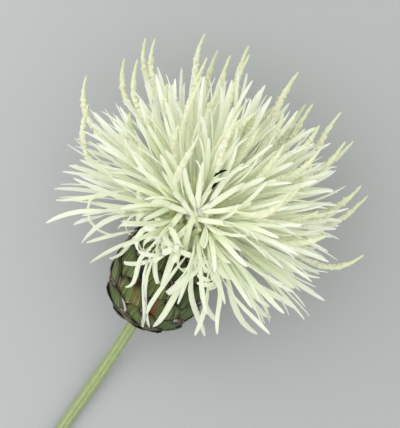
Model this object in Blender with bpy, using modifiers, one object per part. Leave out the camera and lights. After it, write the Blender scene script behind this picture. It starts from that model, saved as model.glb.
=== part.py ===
"""A knapweed flower head as picked, lying on its side.

Units are metres, +Z is up and the surface it lies on is Z = 0. +X runs from the cut end of the
stalk to the head. The flower is four pieces: the stalk with the receptacle that it swells into,
the cup of overlapping bracts round it, the ring of outer florets and the tuft of inner florets.
"""

import math
import random

import bmesh
import bpy
from mathutils import Matrix, Quaternion, Vector

MM = 0.001

# The head: its own axis rises from the surface, and sizes along it count from the stalk's top.
HEAD_RISE = math.radians(30)
HEAD_BASE = Vector((3.24 * MM, 0.9 * MM, 8.0 * MM))
HEAD_FRAME = Matrix.Translation(HEAD_BASE) @ Matrix.Rotation(math.pi / 2 - HEAD_RISE, 4, "Y")
ROUND_STEPS = 24
FIT_GAP = 0.3 * MM

# Stalk and receptacle
STALK_RADIUS = 1.12 * MM
STALK_FURROW = 0.14 * MM
STALK_RIDGES = 8
STALK_LEAVES_HEAD = 15.0 * MM
STALK_LANDS = 31.0 * MM
STALK_REACH = 62.0 * MM
STALK_SWAY = 0.055  # sideways run of the lying part for its length
NECK_RADIUS = 1.4 * MM
RECEPTACLE = (  # radius and height of its outer face, from its top down to the neck, in millimetres
    (0.0, 5.2),
    (3.1, 5.0),
    (5.1, 4.2),
    (3.3, 2.7),
    (1.4, 2.5),
)

# Cup of bracts
CUP_OUTLINE = (  # radius and height of the cup's outer face, from its base up, in millimetres
    (2.9, 0.4),
    (5.6, 1.4),
    (7.7, 3.8),
    (8.7, 7.2),
    (8.9, 10.8),
    (8.5, 14.4),
    (7.7, 17.6),
    (6.9, 20.0),
)
CUP_HOLLOW = (  # radius and height of its inner face, from the floor up, in millimetres
    (3.8, 2.3),
    (6.2, 4.9),
    (6.2, 20.0),
)
CUP_FLOOR = 2.1 * MM
BRACTS_A_ROW = 8
ROW_TIPS = (3.6, 6.6, 10.0, 14.0, 18.6, 23.2)  # how far up the outline each row's tips are, mm
FOOT_OVERLAP = 0.4 * MM
BRACT_WIDTH = 7.6 * MM
BRACT_THICKNESS = 1.1 * MM
BRACT_SUNK = 0.4 * MM
BRACT_LIFT = 1.2 * MM
BRACT_SKEW = 0.15 * MM  # how far one side of a bract stands over its neighbour

# Florets, which all spread from one point on the head's axis
SPREAD_HEIGHT = 25.5 * MM
DOME_RADIUS = 7.0 * MM
FLORETS = 90
GOLDEN_ANGLE = math.pi * (3 - math.sqrt(5))
WIDEST = math.radians(108)
PARTING = math.radians(74)
PARTING_WIDTH = 1.1 * MM
TUBE_PARTING = math.radians(8)
BUNDLE_RADIUS = 4.6 * MM
TUBE_ROOT = 5.6 * MM
THROAT = 13.5 * MM
TUBE_ROOT_RADIUS = 0.75 * MM
THROAT_RADIUS = 1.25 * MM
INNER_LOBES = 4
OUTER_LOBES = 4
LOBE_LENGTH = 14.5 * MM
LOBE_THICKNESS = 0.62 * MM
INNER_LOBE_TAPER = (0.9,)
OUTER_LOBE_TAPER = (0.95, 0.75)
LOBE_OPENING = math.radians(9)
LOBE_CURL = math.radians(14)
PRESSED_OPENING = math.radians(38)
PRESSED_BELOW = math.radians(-48)
PRESSED_SHARE = 0.85
COLUMN_LENGTH = 21.0 * MM
COLUMN_TAPER = (1.0, 0.8)
COLUMN_CURL = math.radians(40)
COLUMN_LIMIT = math.radians(86)
LYING_HEIGHT = 0.3 * MM
GROWTH_STEPS = 24
FALLS_FROM_UPRIGHT = math.radians(50)
LEAST_LEAN = math.radians(13)

COLOURS = {  # base colour and roughness
    "stalk": ((0.31, 0.38, 0.13, 1.0), 0.6),
    "bracts": ((0.09, 0.13, 0.045, 1.0), 0.5),
    "outer_florets": ((0.78, 0.83, 0.62, 1.0), 0.55),
    "inner_florets": ((0.80, 0.83, 0.54, 1.0), 0.55),
}


def material(name):
    made = bpy.data.materials.new(name)
    made.use_nodes = True
    shader = made.node_tree.nodes["Principled BSDF"]
    colour, roughness = COLOURS[name]
    shader.inputs["Base Color"].default_value = colour
    shader.inputs["Roughness"].default_value = roughness
    shader.inputs["Metallic"].default_value = 0.0
    return made


def new_collection(name):
    made = bpy.data.collections.new(name)
    bpy.context.scene.collection.children.link(made)
    return made


def add_object(name, data, collection, frame=Matrix.Identity(4)):
    made = bpy.data.objects.new(name, data)
    made.matrix_world = frame
    collection.objects.link(made)
    return made


def turned(name, profile, collection, closed=False):
    """A solid turned round the head's axis from (radius, height) points that run down its outer side."""
    bm = bmesh.new()
    points = [bm.verts.new((radius, 0.0, height)) for radius, height in profile]
    ends = points[1:] + points[:1] if closed else points[1:]
    for a, b in zip(points, ends):
        bm.edges.new((a, b))
    mesh = bpy.data.meshes.new(name)
    bm.to_mesh(mesh)
    bm.free()
    made = add_object(name, mesh, collection, HEAD_FRAME)
    screw = made.modifiers.new("Turn", "SCREW")
    screw.steps = screw.render_steps = ROUND_STEPS
    screw.use_merge_vertices = True
    screw.merge_threshold = 0.01 * MM
    return made


def applied(made, in_triangles=False):
    """Makes the object's mesh what its modifiers show, joined at its seams and facing outward."""
    bpy.context.view_layer.update()
    graph = bpy.context.evaluated_depsgraph_get()
    mesh = bpy.data.meshes.new_from_object(made.evaluated_get(graph))
    bm = bmesh.new()
    bm.from_mesh(mesh)
    bmesh.ops.remove_doubles(bm, verts=bm.verts, dist=0.001 * MM)
    bmesh.ops.recalc_face_normals(bm, faces=bm.faces)
    if in_triangles:
        bmesh.ops.triangulate(bm, faces=bm.faces)
    bm.to_mesh(mesh)
    bm.free()
    name, frame, collection = made.name, made.matrix_world.copy(), made.users_collection[0]
    bpy.data.objects.remove(made)
    return add_object(name, mesh, collection, frame)


def fused(body, pieces):
    """Joins every object of the collection pieces into body, and removes them."""
    union = body.modifiers.new("Fuse", "BOOLEAN")
    union.operation = "UNION"
    union.operand_type = "COLLECTION"
    union.collection = pieces
    union.solver = "MANIFOLD"
    whole = applied(body, in_triangles=True)
    for piece in list(pieces.objects):
        bpy.data.objects.remove(piece)
    bpy.data.collections.remove(pieces)
    return whole


def finished(made, colour):
    made.data.materials.clear()
    made.data.materials.append(material(colour))
    made.data.shade_smooth()
    made.data.set_sharp_from_angle(angle=math.radians(35))


def add_curve(name, collection, fill):
    curve = bpy.data.curves.new(name, "CURVE")
    curve.dimensions = fill
    return curve, add_object(name, curve, collection)


def build_stalk(collection, guides):
    """The furrowed stalk, which lies on the surface at its cut end, and the receptacle at its top."""
    outline, outline_object = add_curve("stalk_outline", guides, "2D")
    ring = outline.splines.new("POLY")
    ring.points.add(2 * STALK_RIDGES - 1)
    ring.use_cyclic_u = True
    for i, point in enumerate(ring.points):
        turn = math.pi * i / STALK_RIDGES
        radius = STALK_RADIUS - STALK_FURROW * (i % 2)
        point.co = (radius * math.cos(turn), radius * math.sin(turn), 0.0, 1.0)
    outline_object.hide_render = True
    outline_object.display_type = "WIRE"

    curve, stalk = add_curve("stalk", collection, "3D")
    curve.resolution_u = 7
    curve.bevel_mode = "OBJECT"
    curve.bevel_object = outline_object
    curve.use_fill_caps = True
    axis = (HEAD_FRAME.to_3x3() @ Vector((0, 0, 1))).normalized()
    top = HEAD_BASE.copy()
    sway = Vector((-1.0, STALK_SWAY, 0.0))
    lying = Vector((top.x, top.y, 1.02 * STALK_RADIUS)) + sway * STALK_LANDS
    cut_end = lying + sway * (STALK_REACH - STALK_LANDS)
    third = (cut_end - lying) / 3
    line = curve.splines.new("BEZIER")
    line.bezier_points.add(2)
    for point, place, before, after in zip(
        line.bezier_points,
        (top, lying, cut_end),
        (top, lying - third, cut_end - third),
        (top - axis * STALK_LEAVES_HEAD, lying + third, cut_end),
    ):
        point.handle_left_type = point.handle_right_type = "FREE"
        point.co, point.handle_left, point.handle_right = place, before, after

    neck = [(NECK_RADIUS, 0.0), (0.6 * STALK_RADIUS, -3.0 * MM), (0.0, -3.0 * MM)]
    joined = new_collection("stalk_parts")
    turned("receptacle", [(radius * MM, height * MM) for radius, height in RECEPTACLE] + neck, joined)
    applied(joined.objects[0])
    finished(fused(applied(stalk), joined), "stalk")
    bpy.data.objects.remove(outline_object)


def on_cup(distance, lift):
    """Radius and height at a distance up the cup's outline from its base, lifted off its face."""
    points = [Vector((radius * MM, height * MM)) for radius, height in CUP_OUTLINE]
    for start, end in zip(points, points[1:]):
        span = (end - start).length
        if distance <= span:
            break
        distance -= span
    way = (end - start) / span
    spot = (start if distance <= span else end) + way * distance
    return spot.x + way.y * lift, spot.y - way.x * lift


def build_bract(name, row, place, collection):
    """One bract: a broad scale with a rounded tip, its foot sunk in the cup and its tip standing off."""
    tip = ROW_TIPS[row] * MM
    foot = ROW_TIPS[row - 2] * MM - FOOT_OVERLAP if row > 1 else 0.2 * MM
    azimuth = math.tau * (place + 0.5 * (row % 2)) / BRACTS_A_ROW
    bm = bmesh.new()
    bmesh.ops.create_grid(bm, x_segments=2, y_segments=4, size=1.0)
    for vertex in bm.verts:
        along = (vertex.co.y + 1) / 2
        breadth = math.sqrt(1.01 - max(0.0, (along - 0.35) / 0.65) ** 2.4)
        lift = BRACT_LIFT * along - BRACT_SUNK + BRACT_SKEW * vertex.co.x
        radius, height = on_cup(foot + (tip - foot) * along, lift)
        width = min(BRACT_WIDTH, 1.12 * math.tau * radius / BRACTS_A_ROW)
        turn = azimuth + vertex.co.x * breadth * width / 2 / radius
        vertex.co = (radius * math.cos(turn), radius * math.sin(turn), height)
    mesh = bpy.data.meshes.new(name)
    bm.to_mesh(mesh)
    bm.free()
    made = add_object(name, mesh, collection, HEAD_FRAME)
    wall = made.modifiers.new("Thickness", "SOLIDIFY")
    wall.thickness = BRACT_THICKNESS
    wall.offset = -1.0
    applied(made)


def build_cup(collection):
    """The cup: a thick wall of fused bract feet, with every bract's free end standing out of it."""
    outer = [(radius * MM, height * MM) for radius, height in reversed(CUP_OUTLINE)]
    inner = [(radius * MM, height * MM) for radius, height in CUP_HOLLOW]
    hole = NECK_RADIUS + FIT_GAP
    cup = turned(
        "bract_cup", [*outer, (hole, 0.3 * MM), (hole, CUP_FLOOR), *inner], collection, closed=True
    )
    bracts = new_collection("bracts")
    for row in range(len(ROW_TIPS)):
        for place in range(BRACTS_A_ROW):
            build_bract(f"bract_{row}_{place}", row, place, bracts)
    finished(fused(applied(cup), bracts), "bracts")


def direction(polar, azimuth):
    """A direction of the head's frame, turned into the world."""
    flat = math.sin(polar)
    local = Vector((flat * math.cos(azimuth), flat * math.sin(azimuth), math.cos(polar)))
    return HEAD_FRAME.to_3x3() @ local


SPREAD_POINT = HEAD_FRAME @ Vector((0, 0, SPREAD_HEIGHT))
HEAD_AXIS = direction(0, 0)
UP = Vector((0, 0, 1))


def at_angle(arm, axis, angle):
    """The arm, swung in its plane with the axis until it makes this angle with it."""
    return Quaternion(axis.cross(arm).normalized(), angle - axis.angle(arm)) @ arm


def floret_headings():
    """Which way each floret leaves the head, from the centre outwards, and whether it is inner.

    The florets on top of the lying head have fallen aside, which parts them there.
    """
    draw = random.Random(5)
    for i in range(FLORETS):
        share = (i + 0.5) / FLORETS
        polar = math.acos(1 - share * (1 - math.cos(WIDEST))) + draw.uniform(-0.03, 0.03)
        heading = direction(polar, i * GOLDEN_ANGLE + draw.uniform(-0.05, 0.05))
        lean = heading.angle(UP)
        if lean < FALLS_FROM_UPRIGHT:
            heading = at_angle(
                heading, UP, LEAST_LEAN + lean * (1 - LEAST_LEAN / FALLS_FROM_UPRIGHT)
            )
        polar = heading.angle(HEAD_AXIS)
        is_inner = polar < PARTING
        limit = PARTING - TUBE_PARTING if is_inner else PARTING + TUBE_PARTING
        if (polar > limit) == is_inner:
            heading = at_angle(heading, HEAD_AXIS, limit)
        yield heading, is_inner


def kept_clear(point, is_inner):
    """The point, moved off the surface that the flower lies on and off the other florets' side."""
    arm = point - SPREAD_POINT
    margin = math.asin(min(0.9, PARTING_WIDTH / max(arm.length, PARTING_WIDTH)))
    limit = PARTING - margin if is_inner else PARTING + margin
    if (arm.angle(HEAD_AXIS) > limit) == is_inner:
        point = SPREAD_POINT + at_angle(arm, HEAD_AXIS, limit)
    return Vector((point.x, point.y, max(point.z, LYING_HEIGHT)))


def grown(place, heading, outward, curl, length, stations, is_inner):
    """Line of a lobe or column: its place, across and outward directions at each station.

    It bends outward by the angle curl, the more the further out, and slides along what it meets.
    """
    line = []
    step = length / GROWTH_STEPS
    for i in range(1, GROWTH_STEPS + 1):
        bend = 2 * curl * i / GROWTH_STEPS / (GROWTH_STEPS + 1)
        heading = Quaternion(heading.cross(outward), bend) @ heading
        clear = kept_clear(place + heading * step, is_inner)
        heading = (clear - place + outward * 0.01 * step).normalized()
        place = kept_clear(place + heading * step, is_inner)
        outward = (outward - heading * outward.dot(heading)).normalized()
        if i % (GROWTH_STEPS // stations) == 0:
            line.append((place, heading.cross(outward), outward))
    return line


def draw_out(bm, face, start, line, taper, is_flat):
    """Extrudes the face from its start along a line, narrowing to each taper, to a point.

    Where it lies on the surface its underside is flat there, up to the point.
    """
    place, across, outward = start
    arms = [vertex.co - place for vertex in face.verts]
    outline = [(arm.dot(across), arm.dot(outward)) for arm in arms]
    for (place, across, outward), size in zip(line, (*taper, 0.0)):
        face = bmesh.ops.extrude_discrete_faces(bm, faces=[face])["faces"][0]
        for vertex, (wide, thick) in zip(face.verts, outline):
            thick *= 1.0 if is_flat else size
            vertex.co = place + across * wide * size + outward * thick
            vertex.co.z = max(vertex.co.z, 0.0)
    if place.z < 1.01 * LYING_HEIGHT:
        place = Vector((place.x, place.y, 0.0))
    bmesh.ops.pointmerge(bm, verts=face.verts, merge_co=place)


def build_floret(name, heading, is_inner, draw, collection):
    """One floret: a slender tube that splits into lobes round a column, all one closed skin."""
    side = heading.cross(Vector((0.3, 0.2, 1.0))).normalized()
    turn = Matrix((side, heading.cross(side), heading)).transposed().to_4x4()
    spin = Matrix.Rotation(draw.uniform(0, math.tau), 4, "Z")
    middle = SPREAD_POINT + heading * (TUBE_ROOT + THROAT) / 2
    throat = SPREAD_POINT + heading * THROAT
    bm = bmesh.new()
    bmesh.ops.create_cone(
        bm,
        cap_ends=True,
        segments=INNER_LOBES if is_inner else OUTER_LOBES,
        radius1=TUBE_ROOT_RADIUS,
        radius2=THROAT_RADIUS,
        depth=THROAT - TUBE_ROOT,
        matrix=Matrix.Translation(middle) @ turn @ spin,
    )
    mouth = min(bm.faces, key=lambda face: (face.calc_center_median() - throat).length)
    lobes = bmesh.ops.inset_individual(bm, faces=[mouth], thickness=LOBE_THICKNESS)["faces"]
    is_pressed = math.asin(heading.z) < PRESSED_BELOW
    taper = INNER_LOBE_TAPER if is_inner else OUTER_LOBE_TAPER
    for face in lobes:
        place = face.calc_center_median()
        outward = (place - throat).normalized()
        across = heading.cross(outward)
        opening = (PRESSED_OPENING if is_pressed else LOBE_OPENING) * draw.uniform(0.75, 1.3)
        leaving = Quaternion(across, opening) @ heading
        away = leaving.cross(across) * -1
        curl = LOBE_CURL * draw.uniform(0.2, 1.6)
        length = LOBE_LENGTH * draw.uniform(0.88, 1.08) * (PRESSED_SHARE if is_pressed else 1.0)
        line = grown(place, leaving, away, curl, length, len(taper) + 1, is_inner)
        draw_out(bm, face, (place, across, outward), line, taper, True)
    if heading.angle(HEAD_AXIS) < COLUMN_LIMIT:
        inward = (HEAD_AXIS - heading * HEAD_AXIS.dot(heading)).normalized()
        length = COLUMN_LENGTH * draw.uniform(0.87, 1.04)
        line = grown(throat, heading, inward, COLUMN_CURL, length, len(COLUMN_TAPER) + 1, is_inner)
        draw_out(bm, mouth, (throat, heading.cross(inward), inward), line, COLUMN_TAPER, False)
    mesh = bpy.data.meshes.new(name)
    bm.to_mesh(mesh)
    bm.free()
    add_object(name, mesh, collection)


def build_florets(collection):
    """The outer ring and the inner tuft of florets, each fused to its own half of the dome's core."""
    inner_edge = SPREAD_HEIGHT + BUNDLE_RADIUS / math.tan(PARTING)
    foot = RECEPTACLE[0][1] * MM + FIT_GAP
    dome = [
        (DOME_RADIUS * math.sin(angle), SPREAD_HEIGHT + DOME_RADIUS * math.cos(angle))
        for angle in (PARTING * i / 4 - math.radians(1.5) * i / 4 for i in range(5))
    ]
    tuft = turned(
        "inner_florets",
        [*dome, (BUNDLE_RADIUS, inner_edge + FIT_GAP / 2), (BUNDLE_RADIUS, foot), (0.0, foot)],
        collection,
    )
    neck = CUP_HOLLOW[-1][0] * MM - FIT_GAP
    below = math.pi - math.asin(neck / DOME_RADIUS)
    rim = [
        (DOME_RADIUS * math.sin(angle), SPREAD_HEIGHT + DOME_RADIUS * math.cos(angle))
        for angle in (PARTING + math.radians(1.5), (PARTING + below) / 2, below)
    ]
    bore = BUNDLE_RADIUS + FIT_GAP
    ring = turned(
        "outer_florets",
        [*rim, (neck, foot), (bore, foot), (bore, inner_edge - FIT_GAP / 2)],
        collection,
        closed=True,
    )
    groups = {True: new_collection("inner_tubes"), False: new_collection("outer_tubes")}
    draw = random.Random(11)
    for i, (heading, is_inner) in enumerate(floret_headings()):
        build_floret(f"floret_{i}", heading, is_inner, draw, groups[is_inner])
    finished(fused(applied(tuft), groups[True]), "inner_florets")
    finished(fused(applied(ring), groups[False]), "outer_florets")


def main():
    for old in list(bpy.data.objects):
        bpy.data.objects.remove(old)
    flower = new_collection("knapweed")
    guides = new_collection("guides")
    build_stalk(flower, guides)
    build_cup(flower)
    build_florets(flower)


main()
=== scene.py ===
import math
import random

import bpy
import numpy as np
from mathutils import Matrix, Quaternion, Vector, noise


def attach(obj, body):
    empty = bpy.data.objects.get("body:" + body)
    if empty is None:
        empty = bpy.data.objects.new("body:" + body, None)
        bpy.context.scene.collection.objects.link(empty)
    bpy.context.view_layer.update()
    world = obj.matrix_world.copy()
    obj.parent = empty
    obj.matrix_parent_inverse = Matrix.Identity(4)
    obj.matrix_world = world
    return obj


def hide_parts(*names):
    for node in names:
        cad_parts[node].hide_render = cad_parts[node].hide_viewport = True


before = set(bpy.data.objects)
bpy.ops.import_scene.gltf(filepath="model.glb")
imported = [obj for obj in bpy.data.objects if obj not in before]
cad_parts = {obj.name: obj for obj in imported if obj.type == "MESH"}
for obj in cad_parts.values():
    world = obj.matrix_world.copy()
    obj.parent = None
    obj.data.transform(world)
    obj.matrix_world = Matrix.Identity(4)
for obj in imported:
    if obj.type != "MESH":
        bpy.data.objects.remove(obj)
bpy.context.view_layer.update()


# The stalk. A slender green stem with eight soft ridges that are paler than the furrows between
# them, cut off square at its foot. It lies on the table and then rises into the head, where it
# swells into the fleshy disc, inside the cup, that carries the florets.

MM = 0.001
HEAD_RISE = math.radians(30)
HEAD_BASE = Vector((3.24 * MM, 0.9 * MM, 8.0 * MM))
HEAD_FRAME = Matrix.Translation(HEAD_BASE) @ Matrix.Rotation(math.pi / 2 - HEAD_RISE, 4, "Y")

STALK_RADIUS = 1.12 * MM
STALK_FURROW = 0.13 * MM
STALK_RIDGES = 8
STALK_SIDES = 6 * STALK_RIDGES
STALK_LEAVES_HEAD = 15.0 * MM
STALK_LANDS = 31.0 * MM
STALK_REACH = 62.0 * MM
STALK_SWAY = 0.055
STALK_LIES_AT = 1.02 * STALK_RADIUS
STALK_STEPS = 24
WELD = 0.01 * MM

# Radius and height of the disc's outline in mm, from its foot up, and how pale it is.
RECEPTACLE = (
    (1.1, -2.0),
    (1.4, 0.0),
    (1.4, 2.5),
    (3.3, 2.7),
    (4.6, 3.6),
    (5.0, 4.2),
    (4.6, 4.7),
    (3.1, 5.05),
    (1.2, 5.2),
)
RECEPTACLE_PALENESS = 0.8
RECEPTACLE_SIDES = 32


def pick(*objects):
    """Selects these objects alone, with the last one active."""
    bpy.ops.object.select_all(action="DESELECT")
    for each in objects:
        each.select_set(True)
        bpy.context.view_layer.objects.active = each


def turned(name, profile, sides, is_filled=True):
    """A form turned round the Z axis: a circle, drawn up and resized from point to point."""
    bpy.ops.object.select_all(action="DESELECT")
    radius, height = profile[0]
    fill = "NGON" if is_filled else "NOTHING"
    bpy.ops.mesh.primitive_circle_add(
        vertices=sides, radius=radius, location=(0, 0, height), fill_type=fill
    )
    made = bpy.context.object
    made.name = made.data.name = name
    bpy.ops.object.transform_apply(location=True)
    bpy.ops.object.mode_set(mode="EDIT")
    bpy.ops.mesh.select_all(action="SELECT")
    for (radius, height), (next_radius, next_height) in zip(profile, profile[1:]):
        rise = {"value": (0, 0, next_height - height)}
        if is_filled:
            bpy.ops.mesh.extrude_region_move(TRANSFORM_OT_translate=rise)
        else:
            bpy.ops.mesh.extrude_edges_move(TRANSFORM_OT_translate=rise)
        grow = next_radius / radius
        bpy.ops.transform.resize(value=(grow, grow, 1))
    bpy.ops.mesh.select_all(action="SELECT")
    bpy.ops.mesh.normals_make_consistent(inside=False)
    bpy.ops.object.mode_set(mode="OBJECT")
    return made


def set_on_head(made):
    """Puts a form that was made round the Z axis on the head's own axis, with its place in its mesh."""
    pick(made)
    made.matrix_world = HEAD_FRAME
    bpy.ops.object.transform_apply(location=True, rotation=True, scale=True)


def welded(made):
    """Merges the points that lie on one another, and turns the faces outward."""
    pick(made)
    bpy.ops.object.mode_set(mode="EDIT")
    bpy.ops.mesh.select_all(action="SELECT")
    bpy.ops.mesh.remove_doubles(threshold=WELD)
    bpy.ops.mesh.normals_make_consistent(inside=False)
    bpy.ops.object.mode_set(mode="OBJECT")


def rounded(made, angle=60):
    """Shades the form smooth, apart from edges sharper than the angle."""
    pick(made)
    bpy.ops.object.shade_smooth_by_angle(angle=math.radians(angle))


def on_points(made, name, values):
    """Stores a number for each point of the mesh, for its material to read."""
    layer = made.data.attributes.new(name, "FLOAT", "POINT")
    layer.data.foreach_set("value", np.asarray(values, dtype=np.float32))


def new_finish(name, roughness, **sockets):
    """A material, its nodes, its links and its shader, with the shader's plain sockets set."""
    made = bpy.data.materials.new(name)
    made.use_nodes = True
    nodes, links = made.node_tree.nodes, made.node_tree.links
    shader = nodes["Principled BSDF"]
    shader.inputs["Roughness"].default_value = roughness
    for socket, value in sockets.items():
        shader.inputs[socket.replace("_", " ").title()].default_value = value
    return made, nodes, links, shader


def read_points(nodes, name):
    """The number that on_points stored under this name."""
    reader = nodes.new("ShaderNodeAttribute")
    reader.attribute_name = name
    return reader.outputs["Fac"]


def ramp(nodes, links, factor, *stops):
    """A colour ramp over the factor, from (position, colour) stops."""
    made = nodes.new("ShaderNodeValToRGB")
    band = made.color_ramp
    while len(band.elements) < len(stops):
        band.elements.new(1.0)
    for element, (position, colour) in zip(band.elements, stops):
        element.position = position
        element.color = (*colour, 1.0)
    links.new(factor, made.inputs["Fac"])
    return made.outputs["Color"]


def grain(nodes, links, vector, scale, detail=3.0, roughness=0.55):
    """An uneven grain over the vector, from 0 to 1."""
    made = nodes.new("ShaderNodeTexNoise")
    made.inputs["Scale"].default_value = scale
    made.inputs["Detail"].default_value = detail
    made.inputs["Roughness"].default_value = roughness
    links.new(vector, made.inputs["Vector"])
    return made.outputs["Fac"]


def stretched(nodes, links, vector, scale):
    """The vector at another scale along each axis, so that a grain on it runs lengthwise."""
    made = nodes.new("ShaderNodeMapping")
    made.inputs["Scale"].default_value = scale
    links.new(vector, made.inputs["Vector"])
    return made.outputs["Vector"]


def mixed(nodes, links, way, factor, first, second):
    """Mixes two colours; the factor and the second colour may be sockets or plain values."""
    made = nodes.new("ShaderNodeMix")
    made.data_type = "RGBA"
    made.blend_type = way
    for index, value in ((0, factor), (6, first), (7, second)):
        if isinstance(value, bpy.types.NodeSocket):
            links.new(value, made.inputs[index])
        else:
            made.inputs[index].default_value = value
    return made.outputs[2]


def bumped(nodes, links, shader, height, strength, distance):
    """Gives the shader a relief of this height."""
    made = nodes.new("ShaderNodeBump")
    made.inputs["Strength"].default_value = strength
    made.inputs["Distance"].default_value = distance
    links.new(height, made.inputs["Height"])
    links.new(made.outputs["Normal"], shader.inputs["Normal"])


bpy.ops.object.select_all(action="DESELECT")
bpy.ops.mesh.primitive_circle_add(vertices=STALK_SIDES, radius=STALK_RADIUS)
outline = bpy.context.object
for corner in outline.data.vertices:
    turn = math.atan2(corner.co.y, corner.co.x)
    corner.co *= 1 - STALK_FURROW / STALK_RADIUS * (0.5 - 0.5 * math.cos(STALK_RIDGES * turn))
bpy.ops.object.convert(target="CURVE")
bpy.ops.object.select_all(action="DESELECT")
bpy.ops.curve.primitive_bezier_curve_add()
stalk = bpy.context.object
stalk.name = "furrowed_stalk"
stalk.data.resolution_u = STALK_STEPS
stalk.data.bevel_mode = "OBJECT"
stalk.data.bevel_object = outline
stalk.data.use_fill_caps = True
axis = HEAD_FRAME.to_3x3() @ Vector((0, 0, 1))
sway = Vector((-1.0, STALK_SWAY, 0.0))
lying = Vector((HEAD_BASE.x, HEAD_BASE.y, STALK_LIES_AT)) + sway * STALK_LANDS
cut_end = lying + sway * (STALK_REACH - STALK_LANDS)
third = (cut_end - lying) / 3
line = stalk.data.splines[0]
line.bezier_points.add(1)
for point, place, before, after in zip(
    line.bezier_points,
    (HEAD_BASE, lying, cut_end),
    (HEAD_BASE, lying - third, cut_end - third),
    (HEAD_BASE - axis * STALK_LEAVES_HEAD, lying + third, cut_end),
):
    point.handle_left_type = point.handle_right_type = "FREE"
    point.co, point.handle_left, point.handle_right = place, before, after
pick(stalk)
bpy.ops.object.convert(target="MESH")
welded(stalk)
bpy.data.objects.remove(outline)

around = np.arange(len(stalk.data.vertices)) % STALK_SIDES
on_points(stalk, "ridge", 0.5 + 0.5 * np.cos(2 * math.pi * STALK_RIDGES * around / STALK_SIDES))

stalk_green, nodes, links, shader = new_finish("stalk_green", 0.5, subsurface_weight=0.15)
shader.inputs["Subsurface Radius"].default_value = (0.6, 1.0, 0.3)
shader.inputs["Subsurface Scale"].default_value = 0.6 * MM
place = nodes.new("ShaderNodeTexCoord").outputs["Object"]
green = ramp(
    nodes,
    links,
    read_points(nodes, "ridge"),
    (0.1, (0.26, 0.33, 0.135)),
    (0.55, (0.31, 0.38, 0.17)),
    (1.0, (0.37, 0.44, 0.22)),
)
mottle = grain(nodes, links, place, 900.0)
tint = ramp(nodes, links, mottle, (0.3, (0.86, 0.88, 0.84)), (0.7, (1.06, 1.05, 1.0)))
links.new(mixed(nodes, links, "MULTIPLY", 1.0, green, tint), shader.inputs["Base Color"])
fibre = grain(nodes, links, stretched(nodes, links, place, (300.0, 3000.0, 3000.0)), 1.0)
bumped(nodes, links, shader, fibre, 0.35, 0.08 * MM)
stalk.data.materials.append(stalk_green)
rounded(stalk)
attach(stalk, "root")
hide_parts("stalk")

disc = turned("receptacle_disc", [(r * MM, z * MM) for r, z in RECEPTACLE], RECEPTACLE_SIDES)
set_on_head(disc)
on_points(disc, "ridge", [RECEPTACLE_PALENESS] * len(disc.data.vertices))
disc.data.materials.append(stalk_green)
rounded(disc)
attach(disc, "root")
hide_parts("stalk")


# The cup. A wall of tissue, brown where it shows, from which forty-eight bracts grow in six rows,
# each row set half a step round from the last. The lowest bracts lie over the feet of the ones
# above, and only the tips stand free.

# Radius and height in mm: the outside from the base up, the hollow back down, and the hole that
# the stalk passes through.
CUP_OUTLINE = (
    (2.9, 0.4),
    (5.6, 1.4),
    (7.7, 3.8),
    (8.7, 7.2),
    (8.9, 10.8),
    (8.5, 14.4),
    (7.7, 17.6),
    (6.9, 20.0),
)
CUP_HOLLOW = ((6.3, 20.0), (6.2, 19.0), (6.2, 4.9), (3.8, 2.3), (1.7, 2.1))
CUP_HOLE = (1.7, 0.3)
CUP_SIDES = 48

# How far up the cup's outline the tips of each row reach, in mm from its base.
ROW_TIPS = (3.6, 6.6, 10.0, 14.0, 18.6, 23.2)
LOWEST_FOOT = 0.2 * MM
BRACTS_A_ROW = 8
BRACT_LENGTH = 9.0 * MM
BRACT_WIDTH = 9.0 * MM
BRACT_OVERLAP = 1.3
BRACT_WIDEST_AT = 0.3
BRACT_ROUNDNESS = 3.2
BRACT_BLUNTNESS = 0.01
BRACT_THICKNESS = 0.22 * MM
BRACT_ACROSS = 14
BRACT_ALONG = 16
CUP_GLOSS = 0.15

# How a bract stands off the cup: at its foot, towards its tip, more at one side than the other,
# in waves, frayed at its tip and arched between its sides.
BRACT_STARTS = 0.12 * MM
BRACT_LIFT = 0.75 * MM
BRACT_FLARE = (0.75, 1.15)
BRACT_SKEW = 0.15 * MM
BRACT_WAVE = 0.06 * MM
BRACT_FRAY = 0.2 * MM
BRACT_ARCH = 0.1 * MM

# How uneven the bracts are: round the cup, in reach, in width, and along the coloured rim, which
# is so many mm deep.
BRACT_SCATTER = 0.035
TIP_FRAY = 0.16 * MM
SIDE_FRAY = 0.03
TIP_ROUNDING = 0.35 * MM
RIM_DEPTH = 2.5
RIM_FRAY = 0.12
RIM_WEAR = 1.5

cup_profile = [(r * MM, z * MM) for r, z in (*CUP_OUTLINE, *CUP_HOLLOW, CUP_HOLE, CUP_OUTLINE[0])]
cup = turned("cup_wall", cup_profile, CUP_SIDES, is_filled=False)
welded(cup)
set_on_head(cup)


def mottled(name, roughness, gloss, scale, *stops):
    """A finish whose tones, from (position, colour) stops, mottle into one another."""
    made, nodes, links, shader = new_finish(name, roughness)
    shader.inputs["Specular IOR Level"].default_value = gloss
    place = nodes.new("ShaderNodeTexCoord").outputs["Object"]
    tones = ramp(nodes, links, grain(nodes, links, place, scale), *stops)
    links.new(tones, shader.inputs["Base Color"])
    return made


cup_brown = mottled(
    "cup_brown", 0.6, CUP_GLOSS, 700.0, (0.3, (0.035, 0.028, 0.018)), (0.7, (0.085, 0.075, 0.04))
)
cup.data.materials.append(cup_brown)
rounded(cup, 40)
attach(cup, "root")
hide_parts("bract_cup")


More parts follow.
